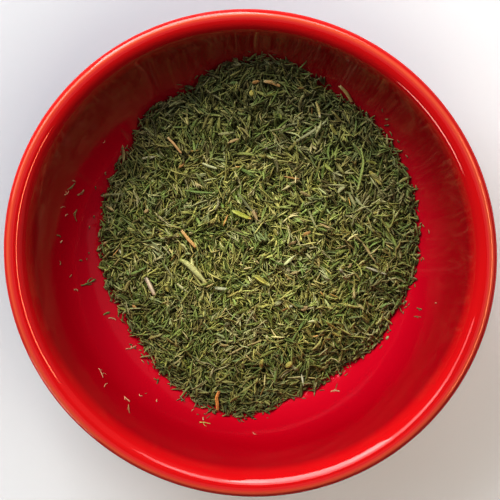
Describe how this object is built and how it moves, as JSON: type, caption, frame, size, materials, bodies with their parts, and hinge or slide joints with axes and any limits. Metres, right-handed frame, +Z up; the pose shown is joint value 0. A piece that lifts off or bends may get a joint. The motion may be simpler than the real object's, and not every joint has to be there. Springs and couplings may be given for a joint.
{
  "type": "bowl of dried dill",
  "caption": "Round glazed bowl on a foot ring, with a rounded lip, holding a heap of dried, cut dill with a few stem and straw cuttings.",
  "frame": {"origin": "centre of the plane that the foot ring stands on", "axes": "+Z up through the middle of the bowl, +Y towards the side where the heap lies highest on the wall"},
  "size_m": [0.15, 0.15, 0.0494],
  "materials": {
    "red_glaze": "gloss",
    "dried_dill": "matte",
    "pale_blade": "matte",
    "straw": "matte",
    "orange_straw": "matte"
  },
  "bodies": {
    "root": {"bowl": "red_glaze", "dill_heap": "dried_dill", "forked_blade": "pale_blade", "pink_stick": "straw", "orange_stick": "orange_straw", "pale_chip": "straw", "bright_leaf": "pale_blade", "chaff_flake": "straw", "orange_straw": "orange_straw", "straw_stick": "straw", "short_straw": "straw", "yellow_straw": "straw", "pale_straw": "straw", "green_stem": "pale_blade", "edge_stick": "orange_straw", "stray_01": "dried_dill", "stray_02": "dried_dill", "stray_03": "dried_dill", "stray_04": "dried_dill", "stray_05": "dried_dill", "stray_06": "dried_dill", "stray_07": "dried_dill", "stray_08": "dried_dill", "stray_09": "dried_dill", "stray_10": "dried_dill", "stray_11": "dried_dill", "stray_12": "dried_dill", "stray_13": "dried_dill", "stray_14": "dried_dill", "stray_15": "dried_dill"}
  },
  "joints": []
}
